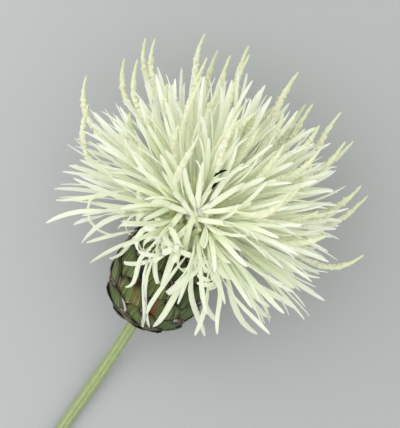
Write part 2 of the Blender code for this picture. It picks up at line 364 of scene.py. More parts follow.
def on_cup(distance, lift):
    """Radius and height at a distance up the cup's outline from its base, lifted off its face."""
    points = [Vector((radius * MM, height * MM)) for radius, height in CUP_OUTLINE]
    legs = [end - start for start, end in zip(points, points[1:])]
    marks = np.concatenate(([0.0], np.cumsum([leg.length for leg in legs])))
    middles = (marks[:-1] + marks[1:]) / 2
    normals = [Vector((leg.y, -leg.x)).normalized() for leg in legs]
    spot = Vector((np.interp(distance, marks, [p.x for p in points]), 0))
    spot.y = np.interp(distance, marks, [p.y for p in points])
    beyond = max(0.0, distance - marks[-1])
    spot += legs[-1].normalized() * beyond
    out = Vector(
        (
            np.interp(distance, middles, [n.x for n in normals]),
            np.interp(distance, middles, [n.y for n in normals]),
        )
    ).normalized()
    spot += out * lift
    return spot.x, spot.y


def bract_breadth(along):
    """Share of its full width that a bract has at a share of its length."""
    beyond = max(0.0, (along - BRACT_WIDEST_AT) / (1 - BRACT_WIDEST_AT))
    return math.sqrt(max(0.0, 1 + BRACT_BLUNTNESS - beyond**BRACT_ROUNDNESS))


def shaped_bract(template, row, place):
    """A copy of the flat sheet, wrapped on the cup in its place.

    Each point stores how far in from the rim it is, less where the rim is worn, and each bract a
    tone of its own.
    """
    made = template.copy()
    made.data = template.data.copy()
    bpy.context.collection.objects.link(made)
    tip = ROW_TIPS[row] * MM
    foot = max(LOWEST_FOOT, tip - BRACT_LENGTH)
    azimuth = math.tau * (place + 0.5 * (row % 2)) / BRACTS_A_ROW
    azimuth += bract_draw.uniform(-BRACT_SCATTER, BRACT_SCATTER)
    flare = bract_draw.uniform(*BRACT_FLARE)
    seed = Vector((row * 7.3, place * 3.1, 0.0))
    rims = []
    for vertex in made.data.vertices:
        side, along = vertex.co.x, (vertex.co.y + 1) / 2
        lift = BRACT_STARTS + BRACT_LIFT * flare * along + BRACT_SKEW * side
        wave = noise.noise(seed + Vector((side * 3, along * 4, 0)))
        edge = noise.noise(seed + Vector((side * 9, along * 9, 5)))
        lift += BRACT_WAVE * wave + BRACT_FRAY * edge * along**5 - BRACT_ARCH * side**2 * along
        reach = tip - foot + TIP_FRAY * edge * along**6
        radius, height = on_cup(foot + reach * along, lift)
        width = min(BRACT_WIDTH, BRACT_OVERLAP * math.tau * radius / BRACTS_A_ROW)
        half = bract_breadth(along) * width / 2 * (1 + SIDE_FRAY * edge * abs(side))
        turn = azimuth + side * half / radius
        vertex.co = (radius * math.cos(turn), radius * math.sin(turn), height)
        to_side = (1 - abs(side)) * half
        to_tip = (1 - along) * (tip - foot) + TIP_ROUNDING * abs(side) ** 2
        worn = RIM_WEAR * noise.noise(seed + Vector((side * 1.9, along * 2.4, 9)))
        rims.append((min(to_side, to_tip) / MM + RIM_FRAY * edge + worn) / RIM_DEPTH)
    on_points(made, "rim", rims)
    on_points(made, "tone", [bract_draw.random()] * len(rims))
    return made


bpy.ops.object.select_all(action="DESELECT")
bpy.ops.mesh.primitive_grid_add(x_subdivisions=BRACT_ACROSS, y_subdivisions=BRACT_ALONG, size=2)
sheet = bpy.context.object
bract_draw = random.Random(3)
bracts = [
    shaped_bract(sheet, row, place) for row in range(len(ROW_TIPS)) for place in range(BRACTS_A_ROW)
]
bpy.data.objects.remove(sheet)
pick(*bracts)
bpy.ops.object.join()
bracts = bpy.context.object
bracts.name = bracts.data.name = "bracts"
wall = bracts.modifiers.new("Thickness", "SOLIDIFY")
wall.thickness = BRACT_THICKNESS
wall.offset = -1.0
bpy.ops.object.modifier_apply(modifier="Thickness")
set_on_head(bracts)

bract_green, nodes, links, shader = new_finish("bract_green", 0.45)
shader.inputs["Specular IOR Level"].default_value = CUP_GLOSS
place = nodes.new("ShaderNodeTexCoord").outputs["Object"]
across = nodes.new("ShaderNodeTexCoord").outputs["UV"]
stripes = grain(nodes, links, stretched(nodes, links, across, (36.0, 1.1, 1.0)), 1.0, 4.0, 0.65)
green = ramp(
    nodes,
    links,
    stripes,
    (0.36, (0.018, 0.030, 0.010)),
    (0.46, (0.060, 0.090, 0.028)),
    (0.55, (0.140, 0.190, 0.072)),
    (0.66, (0.27, 0.32, 0.15)),
)
tone = ramp(
    nodes,
    links,
    read_points(nodes, "tone"),
    (0.0, (0.70, 0.76, 0.66)),
    (0.6, (1.0, 1.0, 1.0)),
    (1.0, (1.2, 1.12, 1.0)),
)
green = mixed(nodes, links, "MULTIPLY", 1.0, green, tone)
patches = ramp(
    nodes, links, grain(nodes, links, place, 130.0, 2.0), (0.58, (0.0,) * 3), (0.66, (1.0,) * 3)
)
green = mixed(nodes, links, "MIX", patches, green, (0.17, 0.05, 0.018, 1.0))
from_rim = read_points(nodes, "rim")
# The margin: a faint paler edge, then a near-black band just inside it, then brown, then green. The
# band is partly the bract's own dark margin and partly painted shadow under the rim.
margin_with_painted_shadow = ramp(
    nodes,
    links,
    from_rim,
    (0.0, (0.16, 0.12, 0.10)),
    (0.03, (0.06, 0.042, 0.03)),
    (0.06, (0.012, 0.008, 0.006)),
    (0.15, (0.010, 0.007, 0.005)),
    (0.23, (0.05, 0.038, 0.018)),
    (0.4, (0.07, 0.075, 0.03)),
)
# Where the margin is dry it is pale out to the rim. Inside that comes the same near-black band of dark
# margin and painted shadow.
dry_rim_with_painted_shadow = ramp(nodes, links, from_rim, (0.10, (0.50, 0.44, 0.42)), (0.16, (0.012, 0.008, 0.006)))
is_dry = ramp(
    nodes, links, grain(nodes, links, place, 190.0, 1.0), (0.56, (0.0,) * 3), (0.62, (1.0,) * 3)
)
margin_with_painted_shadow = mixed(nodes, links, "MIX", is_dry, margin_with_painted_shadow, dry_rim_with_painted_shadow)
inside = nodes.new("ShaderNodeMapRange")
inside.inputs["From Min"].default_value = 0.2
inside.inputs["From Max"].default_value = 0.42
links.new(from_rim, inside.inputs["Value"])
# Painted shade: each bract's green darkens to under half towards its edges, as shade where the bracts
# overlap and cover one another.
shade = ramp(nodes, links, from_rim, (0.2, (0.45, 0.45, 0.4)), (0.8, (1.0,) * 3))
green = mixed(nodes, links, "MULTIPLY", 1.0, green, shade)
links.new(
    mixed(nodes, links, "MIX", inside.outputs["Result"], margin_with_painted_shadow, green),
    shader.inputs["Base Color"],
)
bumped(nodes, links, shader, stripes, 0.6, 0.12 * MM)
bracts.data.materials.append(bract_green)
rounded(bracts, 40)
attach(bracts, "root")
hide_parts("bract_cup")


# The florets. Ninety slender tubes leave the mouth of the cup as a bundle and arch outward, and
# each opens at its throat into five long strap-shaped lobes of thin pale tissue. The head lies on
# its side: the lobes on top fall apart, those over the cup hang limp, those below are pressed flat.

SPREAD_HEIGHT = 25.5 * MM
SPREAD_POINT = HEAD_FRAME @ Vector((0, 0, SPREAD_HEIGHT))
HEAD_AXIS = HEAD_FRAME.to_3x3() @ Vector((0, 0, 1))
UP = Vector((0, 0, 1))
FLORETS = 90
GOLDEN_ANGLE = math.pi * (3 - math.sqrt(5))
HEADING_SCATTER = 0.03
TURN_SCATTER = 0.05

# From the head's axis: the widest floret, where inner ones end, and how clear of that all stand.
WIDEST = math.radians(108)
PARTING = math.radians(74)
CLEAR_OF_PARTING = math.radians(8)

# From the upright: which florets have fallen outwards, and how far the most upright has fallen.
FALLS_FROM_UPRIGHT = math.radians(50)
LEAST_LEAN = math.radians(13)

THROAT = 9.5 * MM
THROAT_SHARE = (0.85, 1.1)
THROAT_SCATTER = 0.5 * MM
MOUTH_RADIUS = 5.4 * MM
MOUTH_HEIGHT = 17.0 * MM
TUBE_PULL = 7 * MM
TUBE_SIDES = 10
LOBES = 5
LOBE_SIDES = 6
LOBE_LENGTH = 18.5 * MM
LOBE_WIDTH = 1.15 * MM
LOBE_THICKNESS = 0.26 * MM
LOBE_CHANNEL = 0.16 * MM
LOBE_FOOT = 0.6 * MM
LOBE_OPENING = math.radians(4.8)
LOBE_CURL = math.radians(8)
GROWTH_STEPS = 20
LYING_HEIGHT = 0.3 * MM
CUP_CLEARANCE = 1.0 * MM

# How lobes vary: in shares of the opening, curl, length, width and tone, and in radians by their
# bend to the side, their twist and their sway, which makes so many waves.
OPENING_SHARE = (0.4, 1.6)
CURL_SHARE = (-0.4, 1.6)
LENGTH_SHARE = (0.86, 1.04)
WIDTH_SHARE = (0.70, 1.00)
TONE_SCATTER = 0.1
LOBE_DRIFT = 0.05
LOBE_TWIST = 0.35
LOBE_SWAY = 0.035
WAVES = 1.1
WAVE_BEND = 4

# Florets that head down more steeply than this are pressed open on the table.
PRESSED_BELOW = math.radians(-48)
PRESSED_OPENING = math.radians(38)
PRESSED_SHARE = (0.5, 1.3)

# Florets further than this from the head's axis, and rising at least this much, hang limp and
# fall this way. They are broader, and vary more.
HANGING = math.radians(88)
HANGING_RISE = 0.1
FALLING = Vector((-0.78, -0.48, -0.4)).normalized()
LIMP_OPENING = 1.6
LIMP_BEND = 0.35
LIMP_DRIFT = 0.5
LIMP_TWIST = 1.6
LIMP_SWAY = 0.3
LIMP_LENGTH = (0.75, 1.02)
LIMP_DROOP = (0.0, 0.8)
LIMP_WIDTH = 1.2

# Of the ones that hang, those rising more than this are knotted in all their lobes, and the rest
# in two of them.
KNOTTED_RISE = 0.5
KNOTTED_LOBES = 2
KNOT_BEND = (1.8, 3.6)
KNOT_DRIFT = 1.2
KNOT_TWIST = 1.5
KNOT_LENGTH = (0.3, 0.55)

# The petals' tissue: how deep light sinks in, its gloss, how close its veins are, and the
# distances from the head's middle between which its colour changes.
LIGHT_SINKS = 0.35 * MM
PETAL_GLOSS = 0.3
VEIN_RATE = 14.0
COLOUR_STARTS = 4 * MM
COLOUR_ENDS = 30 * MM

# Along a lobe and a tube, as shares of their length: the share of a lobe's full width, and the
# tube's radius in mm, which turns in at its throat.
LOBE_MARKS = (0.0, 0.08, 0.2, 0.34, 0.48, 0.62, 0.76, 0.88, 0.96, 1.0)
LOBE_BREADTHS = (0.66, 0.74, 0.85, 0.95, 1.02, 1.04, 0.97, 0.83, 0.58, 0.22)
TUBE_MARKS = (0.0, 0.3, 0.55, 0.7, 0.8, 0.9, 0.97, 1.0, 1.0, 0.95)
TUBE_RADII = (0.5, 0.46, 0.46, 0.48, 0.53, 0.62, 0.70, 0.66, 0.52, 0.36)

# Lobes that lie loose over the cup and at the head's edge: width in mm, the share of its length
# that each keeps, and the places in mm that it passes through, from its foot out.
LOOSE_LOBES = (
    (0.95, 1.0, ((19, -1.3, 30), (12.5, -0.5, 26), (6, -0.1, 21.7), (2, -1, 15.2))),
    (1.35, 1.0, ((19.6, -4.3, 29), (13, -3.1, 25), (6.9, -3.3, 21.5), (3, -2.7, 17.5))),
    (1.5, 0.86, ((19.5, -4.8, 29.5), (15.1, -3.7, 27.2), (10, -1.8, 25))),
    (1.2, 1.0, ((18.8, -3.4, 29), (13.2, -4.9, 25), (9.8, -8, 20), (6.3, -12.2, 14))),
    (1.2, 1.0, ((18.8, -4.4, 28.5), (13.2, -7.5, 23.5), (9.9, -13.1, 15))),
    (0.8, 1.0, ((17, 4.1, 28.5), (12.5, 4.3, 26), (7.3, 1.8, 23), (2, -0.6, 15.5))),
    (0.8, 1.0, ((16.5, 3.6, 29), (11, 3.2, 25.5), (6, 0.8, 21.7), (2.7, -2, 16.5))),
    (1.1, 0.9, ((18.6, 3.5, 28.5), (14.4, 3.4, 26.5), (10.7, 0.7, 24.7))),
    (1.6, 0.9, ((20, 1.7, 29), (14.3, 0.5, 26.7), (10.8, 0.2, 24.8))),
    (1.0, 1.0, ((16.5, 4.9, 28), (12.5, 5.8, 25.7), (9.7, 5, 24), (6.9, 5.7, 20.5))),
    (0.95, 0.88, ((16.2, 2.6, 28.5), (13.3, 4.5, 26.5), (10.7, 8.2, 21.7))),
    (0.8, 0.95, ((18.7, 7, 26.5), (15, 9, 23), (12.6, 9.3, 20.5), (9.8, 11, 17.5))),
    (0.6, 1.0, ((20.5, 14.9, 27), (17.1, 19.5, 26), (15, 18.5, 25), (13.6, 15.9, 24), (14.6, 12, 23))),
    (1.3, 1.0, ((27, 1.5, 27.5), (22, 0.8, 32), (18, -1, 28.5))),
    (1.2, 1.0, ((26.5, -1, 27), (21.3, -2.5, 31.5), (17, -3.5, 27))),
    (1.3, 1.0, ((27, 3.5, 27), (21.8, 4, 31.5), (18, 4.6, 28))),
    (1.2, 1.0, ((26, 0.3, 28), (21, 1.8, 32), (17.2, 2.8, 28.5))),
    (1.2, 1.0, ((26, -3.0, 26.5), (20.8, -4.7, 30.5), (17, -6.5, 25.5))),
    (1.1, 1.0, ((26.5, 4.5, 26.5), (22.3, 7.2, 30.5), (19, 9.5, 26.5))),
    (1.0, 1.0, ((23.1, 14.3, 25), (19.2, 18.6, 24.5), (14.3, 25.3, 22))),
    (1.0, 1.0, ((18.5, 13.8, 26), (13.6, 21.6, 24.5), (9.6, 24.7, 21))),
    (0.9, 1.0, ((16, 8.5, 24), (10.9, 11.8, 20), (7.1, 13.8, 16))),
    (0.8, 1.0, ((17, 9.5, 24), (13, 13.8, 21), (10.2, 16.4, 18))),
    (1.3, 1.0, ((21, -7.6, 25.5), (16.5, -11.6, 22), (12.9, -15.9, 17), (11.7, -20.8, 12))),
    (1.4, 1.0, ((21.5, -8.6, 25.5), (17.2, -14.5, 21), (15.9, -21.2, 15))),
)

# Lobes that lie over the middle of the head: width and places in the same way.
MIDDLE_LOBES = (
    (1.2, ((23.5, 0, 27.5), (29.5, 3, 33.5), (34.5, 5, 36.5))),
    (1.1, ((24, 1.5, 27), (30, 1.5, 32.5), (35, 1.5, 34.5))),
    (1.3, ((24, 2, 27.5), (30, -1, 33), (35, -3.5, 35.5))),
    (1.1, ((26, 2.5, 28), (28.5, -2.5, 33), (32.5, -6.5, 34.5))),
    (1.2, ((24, 2.5, 27.5), (26.5, -3.5, 32), (28.5, -8.5, 32.5))),
    (1.2, ((25.5, -2, 27.5), (28.5, 4.5, 33.5), (32.5, 8, 36))),
    (1.1, ((23.5, -1, 28), (27, 6, 33), (29, 10.5, 35))),
    (1.2, ((27, -1.5, 27), (24.5, 6, 32.5), (24.5, 11, 34))),
    (1.1, ((26.5, 2.5, 27), (24.5, -4, 31), (24, -9.5, 31))),
    (1.1, ((24.5, -1.5, 28), (31.5, 0, 33.5), (38, -1.5, 35.5))),
)

# How far loose and middle lobes twist, where along them they don't, and their ranges of tone.
LOOSE_TWIST = 0.9
MIDDLE_TWIST = 0.5
UNTWISTED_AT = 0.3
LOOSE_TONES = (0.0, 0.2)
MIDDLE_TONES = (0.3, 0.7)


def round_axis(radius, azimuth, height):
    """A place round the head's axis, in the world."""
    return HEAD_FRAME @ Vector((radius * math.cos(azimuth), radius * math.sin(azimuth), height))


def direction(polar, azimuth):
    """A direction of the head's frame, turned into the world."""
    flat = math.sin(polar)
    local = Vector((flat * math.cos(azimuth), flat * math.sin(azimuth), math.cos(polar)))
    return HEAD_FRAME.to_3x3() @ local


def at_angle(arm, axis, angle):
    """The arm, swung in its plane with the axis until it makes this angle with it."""
    return Quaternion(axis.cross(arm).normalized(), angle - axis.angle(arm)) @ arm


def floret_headings():
    """Each floret from the centre out: its heading, whether it is inner, its share and its turn."""
    draw = random.Random(5)
    for i in range(FLORETS):
        share = (i + 0.5) / FLORETS
        polar = math.acos(1 - share * (1 - math.cos(WIDEST)))
        polar += draw.uniform(-HEADING_SCATTER, HEADING_SCATTER)
        azimuth = i * GOLDEN_ANGLE + draw.uniform(-TURN_SCATTER, TURN_SCATTER)
        heading = direction(polar, azimuth)
        lean = heading.angle(UP)
        if lean < FALLS_FROM_UPRIGHT:
            fallen = LEAST_LEAN + lean * (1 - LEAST_LEAN / FALLS_FROM_UPRIGHT)
            heading = at_angle(heading, UP, fallen)
        polar = heading.angle(HEAD_AXIS)
        is_inner = polar < PARTING
        limit = PARTING - CLEAR_OF_PARTING if is_inner else PARTING + CLEAR_OF_PARTING
        if (polar > limit) == is_inner:
            heading = at_angle(heading, HEAD_AXIS, limit)
        yield heading, is_inner, share, i * GOLDEN_ANGLE


def clear_of_cup(place):
    """The place, or the nearest one to it that is outside the cup."""
    local = HEAD_FRAME.inverted() @ place
    if 0 < local.z < CUP_OUTLINE[-1][1] * MM:
        radii, heights = zip(*CUP_OUTLINE)
        least = np.interp(local.z / MM, heights, radii) * MM + CUP_CLEARANCE
        around = math.hypot(local.x, local.y)
        if around < least:
            return HEAD_FRAME @ Vector((local.x * least / around, local.y * least / around, local.z))
    return place


def grown(place, heading, outward, length, curl, drift=0.0, twist=0.0, droop=0.0, wave=0.0):
    """Line of a lobe or column: place, across and outward directions at each step, as an array.

    It bends outward by the angle curl, sideways by drift and the way that limp lobes fall by
    droop, the more the further out. It sways from side to side by wave, turns about itself by
    twist, and slides along the table and the cup where it meets them.
    """
    step = length / GROWTH_STEPS
    line = [(*place, *heading.cross(outward), *outward)]
    for i in range(1, GROWTH_STEPS + 1):
        ease = 2 * i / GROWTH_STEPS / (GROWTH_STEPS + 1)
        across = heading.cross(outward)
        heading = Quaternion(across, curl * ease) @ heading
        sway = wave * math.cos(WAVES * math.tau * i / GROWTH_STEPS) * WAVE_BEND / GROWTH_STEPS
        heading = Quaternion(outward, drift * ease + sway) @ heading
        heading = (heading + FALLING * droop * ease).normalized()
        reached = clear_of_cup(place + heading * step)
        reached.z = max(reached.z, LYING_HEIGHT)
        heading = (reached - place + outward * 0.01 * step).normalized()
        place = place + heading * step
        place.z = max(place.z, LYING_HEIGHT)
        outward = (outward - heading * outward.dot(heading)).normalized()
        outward = Quaternion(heading, twist / GROWTH_STEPS) @ outward
        line.append((*place, *heading.cross(outward), *outward))
    return np.array(line)


def arched(start, leaving, end, arriving, pull):
    """Line of a tube that leaves and arrives in given directions, in the same form as a grown one."""
    line = []
    knots = (start, start + leaving * pull, end - arriving * pull, end)
    outward = None
    for i in range(GROWTH_STEPS + 1):
        t = i / GROWTH_STEPS
        weights = ((1 - t) ** 3, 3 * t * (1 - t) ** 2, 3 * t * t * (1 - t), t**3)
        place = sum((knot * weight for knot, weight in zip(knots, weights)), Vector())
        slopes = ((1 - t) ** 2, 2 * t * (1 - t), t * t)
        legs = [after - before for before, after in zip(knots, knots[1:])]
        heading = sum((leg * slope for leg, slope in zip(legs, slopes)), Vector()).normalized()
        if outward is None:
            outward = heading.orthogonal().normalized()
        outward = (outward - heading * outward.dot(heading)).normalized()
        line.append((*place, *heading.cross(outward), *outward))
    return np.array(line)


def drawn_through(places, twist):
    """Line of a loose lobe through a few places in millimetres, its face turned upward."""
    knots = np.array(places) * MM
    marks = np.concatenate(([0.0], np.cumsum(np.linalg.norm(np.diff(knots, axis=0), axis=1))))
    curve = np.polynomial.polynomial.polyfit(marks / marks[-1], knots, len(knots) - 1)
    steps = np.linspace(0, 1, GROWTH_STEPS + 1)
    course = np.polynomial.polynomial.polyval(steps, curve).T
    spots = [clear_of_cup(Vector(spot)) for spot in course]
    line = []
    for i, spot in enumerate(spots):
        ahead, behind = spots[min(i + 1, GROWTH_STEPS)], spots[max(i - 1, 0)]
        heading = (ahead - behind).normalized()
        outward = (UP - heading * UP.dot(heading)).normalized()
        outward = Quaternion(heading, twist * (i / GROWTH_STEPS - UNTWISTED_AT)) @ outward
        line.append((*spot, *heading.cross(outward), *outward))
    return np.array(line)


def laid_along(template, line, across, thick, tone):
    """A copy of an upright template, bent along a line: across and thick are its points' offsets."""
    made = template.copy()
    made.data = template.data.copy()
    bpy.context.collection.objects.link(made)
    share = upright(template)[:, 2]
    marks = np.linspace(0, 1, len(line))
    at = np.stack([np.interp(share, marks, column) for column in line.T], axis=1)
    points = at[:, :3] + at[:, 3:6] * across[:, None] + at[:, 6:] * thick[:, None]
    points[:, 2] = np.maximum(points[:, 2], 0.0)
    made.data.vertices.foreach_set("co", points.ravel())
    on_points(made, "tone", [tone] * len(points))
    on_points(made, "along", share)
    return made


def upright(template):
    """The points of a template as an array; it stands on the origin and is 1 high."""
    points = np.empty(3 * len(template.data.vertices))
    template.data.vertices.foreach_get("co", points)
    return points.reshape(-1, 3)


lobe = turned("lobe", list(zip(LOBE_BREADTHS, LOBE_MARKS)), LOBE_SIDES)
tube = turned("tube", list(zip(TUBE_RADII, TUBE_MARKS)), TUBE_SIDES)


def lobe_offsets(kept=1.0):
    """Offsets of the lobe template's points, a shallow channel with thin edges, cut where it ends."""
    points = upright(lobe)
    widest = np.interp(points[:, 2] * kept, LOBE_MARKS, LOBE_BREADTHS)
    round_turn = np.arctan2(points[:, 1], points[:, 0])
    side, face = np.cos(round_turn), np.sin(round_turn)
    thinning = np.interp(points[:, 2], (0.0, 0.8, 1.0), (1.0, 0.8, 0.35))
    across = side * widest * LOBE_WIDTH / 2
    thick = face * LOBE_THICKNESS / 2 * thinning - LOBE_CHANNEL * side**2 * widest
    return across, thick


def add_lobe(parts, line, across, slim, thick, tone):
    """Adds a lobe, made slimmer or broader, and stores where each point is from side to side."""
    made = laid_along(lobe, line, across * slim, thick, tone)
    on_points(made, "side", across / LOBE_WIDTH * 2)
    parts.append(made)


def build_floret(heading, share, azimuth, draw, parts):
    """Adds one floret's tube and lobes to the parts, and returns its throat."""
    throat = SPREAD_POINT + heading * THROAT * draw.uniform(*THROAT_SHARE)
    throat += Vector([draw.gauss(0, THROAT_SCATTER) for _ in range(3)])
    radius = MOUTH_RADIUS * math.sqrt(share)
    root = round_axis(radius, azimuth, MOUTH_HEIGHT)
    tone = draw.random()
    points = upright(tube)
    line = arched(root, HEAD_AXIS, throat, heading, TUBE_PULL)
    parts.append(laid_along(tube, line, points[:, 0] * MM, points[:, 1] * MM, tone))
    side = heading.orthogonal().normalized()
    start = draw.uniform(0, math.tau)
    is_pressed = math.asin(heading.z) < PRESSED_BELOW
    is_hanging = heading.angle(HEAD_AXIS) > HANGING and heading.z > HANGING_RISE
    is_knotted = heading.z > KNOTTED_RISE
    across, thick = lobe_offsets()
    for k in range(LOBES):
        outward = Quaternion(heading, start + math.tau * k / LOBES) @ side
        opening = LOBE_OPENING * draw.uniform(*OPENING_SHARE)
        bend = LOBE_CURL * draw.uniform(*CURL_SHARE)
        drift = draw.gauss(0, LOBE_DRIFT)
        twist = draw.gauss(0, LOBE_TWIST)
        length = draw.uniform(*LENGTH_SHARE)
        droop = 0.0
        wave = draw.gauss(0, LOBE_SWAY)
        if is_pressed:
            opening = PRESSED_OPENING * draw.uniform(*PRESSED_SHARE)
        elif is_hanging and (is_knotted or k < KNOTTED_LOBES):
            bend = draw.choice((-1, 1)) * draw.uniform(*KNOT_BEND)
            drift = draw.gauss(0, KNOT_DRIFT)
            twist = KNOT_TWIST
            length *= draw.uniform(*KNOT_LENGTH)
        elif is_hanging:
            opening *= LIMP_OPENING
            bend = draw.gauss(0, LIMP_BEND)
            drift = draw.gauss(0, LIMP_DRIFT)
            twist = draw.gauss(0, LIMP_TWIST)
            wave = draw.gauss(0, LIMP_SWAY)
            length *= draw.uniform(*LIMP_LENGTH)
            droop = draw.uniform(*LIMP_DROOP)
        leaving = Quaternion(heading.cross(outward), opening) @ heading
        away = leaving.cross(leaving.cross(outward)).normalized() * -1
        foot = throat + outward * LOBE_FOOT
        line = grown(foot, leaving, away, LOBE_LENGTH * length, bend, drift, twist, droop, wave)
        slim = draw.uniform(*WIDTH_SHARE) * (LIMP_WIDTH if is_hanging else 1.0)
        lobe_tone = tone + draw.uniform(-TONE_SCATTER, TONE_SCATTER)
        add_lobe(parts, line, across, slim, thick, lobe_tone)
    return throat


def petal_finish(name, centre, middle, tips, shade):
    """Thin pale tissue with fine veins along it, coloured from the head's centre to its tips."""
    made, nodes, links, shader = new_finish(name, 0.6, subsurface_weight=0.85)
    shader.inputs["Specular IOR Level"].default_value = PETAL_GLOSS
    shader.inputs["Subsurface Radius"].default_value = (1.0, 1.0, 0.9)
    shader.inputs["Subsurface Scale"].default_value = LIGHT_SINKS
    place = nodes.new("ShaderNodeTexCoord").outputs["Object"]
    from_middle = nodes.new("ShaderNodeVectorMath")
    from_middle.operation = "DISTANCE"
    from_middle.inputs[1].default_value = SPREAD_POINT
    links.new(place, from_middle.inputs[0])
    reach = nodes.new("ShaderNodeMapRange")
    reach.inputs["From Min"].default_value = COLOUR_STARTS
    reach.inputs["From Max"].default_value = COLOUR_ENDS
    links.new(from_middle.outputs["Value"], reach.inputs["Value"])
    colour = ramp(nodes, links, reach.outputs["Result"], (0.0, centre), (0.4, middle), (1.0, tips))
    tone = ramp(
        nodes, links, read_points(nodes, "tone"), (0.0, shade), (0.5, (1.0,) * 3), (1.0, (1.03,) * 3)
    )
    colour = mixed(nodes, links, "MULTIPLY", 1.0, colour, tone)
    ribs = nodes.new("ShaderNodeMath")
    ribs.operation = "MULTIPLY"
    ribs.inputs[1].default_value = VEIN_RATE
    links.new(read_points(nodes, "side"), ribs.inputs[0])
    veins = nodes.new("ShaderNodeMath")
    veins.operation = "SINE"
    links.new(ribs.outputs[0], veins.inputs[0])
    vein_tint = ramp(nodes, links, veins.outputs[0], (0.0, (0.975, 0.985, 0.96)), (0.7, (1.0,) * 3))
    colour = mixed(nodes, links, "MULTIPLY", 1.0, colour, vein_tint)
    spots = grain(nodes, links, place, 500.0, 2.0)
    spot_tint = ramp(nodes, links, spots, (0.3, (0.98, 0.99, 0.97)), (0.6, (1.0,) * 3))
    colour = mixed(nodes, links, "MULTIPLY", 1.0, colour, spot_tint)
    links.new(colour, shader.inputs["Base Color"])
    bumped(nodes, links, shader, veins.outputs[0], 0.25, 0.03 * MM)
    return made


def join_as(name, parts, finish, node):
    """Joins the parts into one finished piece that stands for a node."""
    pick(*parts)
    bpy.ops.object.join()
    made = bpy.context.object
    made.name = made.data.name = name
    made.data.materials.clear()
    made.data.materials.append(finish)
    rounded(made)
    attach(made, "root")
    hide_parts(node)


petal_draw = random.Random(21)
inner_parts, outer_parts, throats = [], [], []
for heading, is_inner, share, azimuth in floret_headings():
    parts = inner_parts if is_inner else outer_parts
    throats.append((build_floret(heading, share, azimuth, petal_draw, parts), heading, is_inner))
for width, kept, places in LOOSE_LOBES:
    line = drawn_through(places, petal_draw.gauss(0, LOOSE_TWIST))
    across, thick = lobe_offsets(kept)
    across *= np.interp(upright(lobe)[:, 2], (0.0, 0.3), (0.4, 1.0))
    tone = petal_draw.uniform(*LOOSE_TONES)
    add_lobe(outer_parts, line, across, width * MM / LOBE_WIDTH, thick, tone)
for width, places in MIDDLE_LOBES:
    line = drawn_through(places, petal_draw.gauss(0, MIDDLE_TWIST))
    across, thick = lobe_offsets()
    tone = petal_draw.uniform(*MIDDLE_TONES)
    add_lobe(inner_parts, line, across, width * MM / LOBE_WIDTH, thick, tone)
inner_petal = petal_finish(
    "inner_petal", (0.96, 0.995, 0.76), (0.94, 0.99, 0.765), (0.915, 0.985, 0.79), (0.96, 0.98, 0.93)
)
outer_petal = petal_finish(
    "outer_petal", (0.94, 0.965, 0.74), (0.86, 0.905, 0.72), (0.81, 0.865, 0.72), (0.88, 0.90, 0.84)
)
join_as("inner_corollas", inner_parts, inner_petal, "inner_florets")
join_as("outer_corollas", outer_parts, outer_petal, "outer_florets")
bpy.data.objects.remove(lobe)
bpy.data.objects.remove(tube)


# The stamen columns. Out of the throats round the head rise rods of five fused anthers with the
# style through them, smooth and pale where the lobes hold them and rough with cream pollen beyond.
# The rods bend up towards the head's axis and end in a thin style tip.

# Where some of the tips stand, in mm from the point where the florets spread: round the head's
# rim first, and then five that rise from it.
COLUMN_TIPS = (
    (12, 31.2, 3),
    (7.5, 28, 6),
    (18.6, 27.1, -2),
    (19.4, 24.5, 5),
    (24.1, 25.8, -4),
    (24.5, 23.8, 2),
    (30.4, 16.4, -1),
    (26.1, 13.4, 8),
    (29.3, 12.8, -6),
    (29, 10, 4),
    (32.7, 8.1, -2),
    (31, 7, 3),
    (33.1, -2.5, 0),
    (31.6, -2.2, 6),
    (28.9, -6.9, -5),
    (29.1, -7.9, 4),
    (30.8, -13.3, 0),
    (25.9, -16.6, 7),
    (27.3, -18.2, -2),
    (20.5, -23.4, 5),
    (19.9, -25.9, -3),
    (9.7, -30.7, 1),
    (12.5, 7, 30.2),
    (20, 3, 27),
    (12, -12, 27.5),
    (22, 12, 20),
    (22, -13, 19),
)
TIP_LEAN = 0.2
TIP_ARRIVES = (2.2, 6.0)
COLUMN_PULL = 10.5 * MM

# The other columns: none on florets further than this from the head's axis, nor on those nearer
# than this to the upright.
COLUMN_LIMIT = math.radians(80)
COLUMN_FACING = math.radians(36)
COLUMN_LENGTH = 17.5 * MM
COLUMN_LENGTH_SHARE = (0.8, 1.1)
COLUMN_CURL = math.radians(28)
COLUMN_CURL_SHARE = (0.5, 1.2)
COLUMN_DRIFT = 0.1

# Along a column, as shares of its length: its radius in mm, and how thick the pollen lies.
COLUMN_ROOT = 11.5 * MM
COLUMN_RADIUS = 0.5 * MM
COLUMN_SIDES = 8
COLUMN_STATIONS = 60
COLUMN_MARKS = (0.0, 0.1, 0.3, 0.4, 0.6, 0.8, 0.86, 0.92, 0.98, 1.0)
COLUMN_RADII = (0.28, 0.30, 0.34, 0.46, 0.54, 0.54, 0.42, 0.30, 0.22, 0.12)
POLLEN_MARKS = (0.3, 0.42, 0.84, 1.0)
POLLEN_COVER = (0.0, 1.2, 1.2, 0.3)
POLLEN = 0.4 * MM
CLUMPS_ACROSS = 2.4
CLUMPS_ALONG = 46

